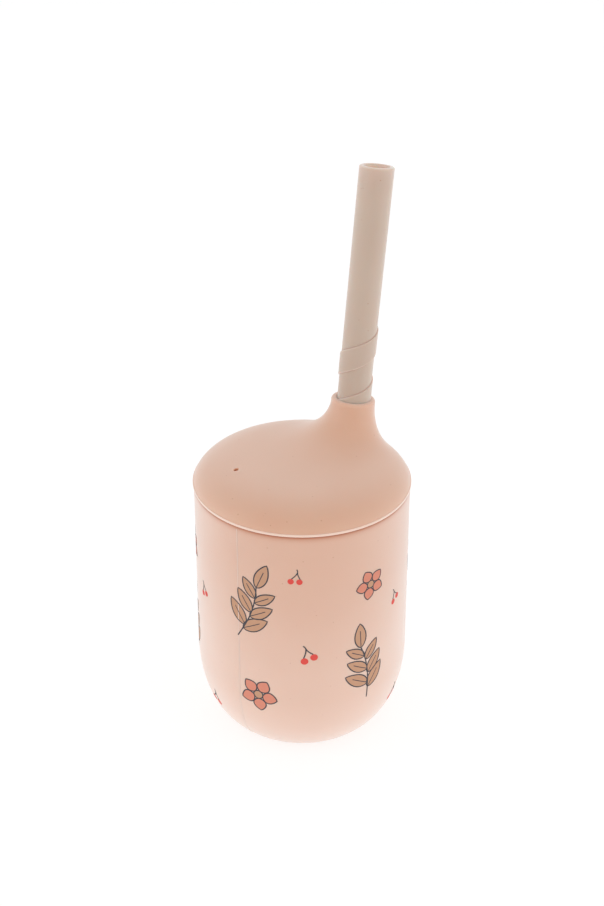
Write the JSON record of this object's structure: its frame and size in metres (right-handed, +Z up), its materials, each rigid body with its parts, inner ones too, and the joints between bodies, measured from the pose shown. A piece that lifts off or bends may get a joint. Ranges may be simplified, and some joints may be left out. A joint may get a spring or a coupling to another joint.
{
  "type": "sippy cup",
  "caption": "Round-bottomed silicone toddler cup with a plug-in domed lid, whose off-centre leaning neck grips a spiral-banded straw.",
  "frame": {"origin": "centre of the cup's flat standing base", "axes": "+Z up along the cup's axis; +X towards the lid's neck, which the straw leans along"},
  "size_m": [0.0727, 0.072, 0.1829],
  "materials": {
    "cup_silicone": "soft matte moulded silicone, peach pink",
    "lid_silicone": "soft matte moulded silicone, peach pink, a shade deeper than the cup",
    "straw_silicone": "soft matte moulded silicone, warm greige"
  },
  "bodies": {
    "cup": {"cup_body": "cup_silicone"},
    "lid": {"lid": "lid_silicone"},
    "straw": {"straw": "straw_silicone"}
  },
  "joints": [
    {"name": "lid_lift", "type": "slide", "parent": "cup", "child": "lid", "axis": [0, 0, 1], "range_m": [0, 0.1]},
    {"name": "straw_slide", "type": "slide", "parent": "lid", "child": "straw", "axis": [0.1045, 0, 0.9945], "range_m": [-0.004, 0.105]}
  ]
}
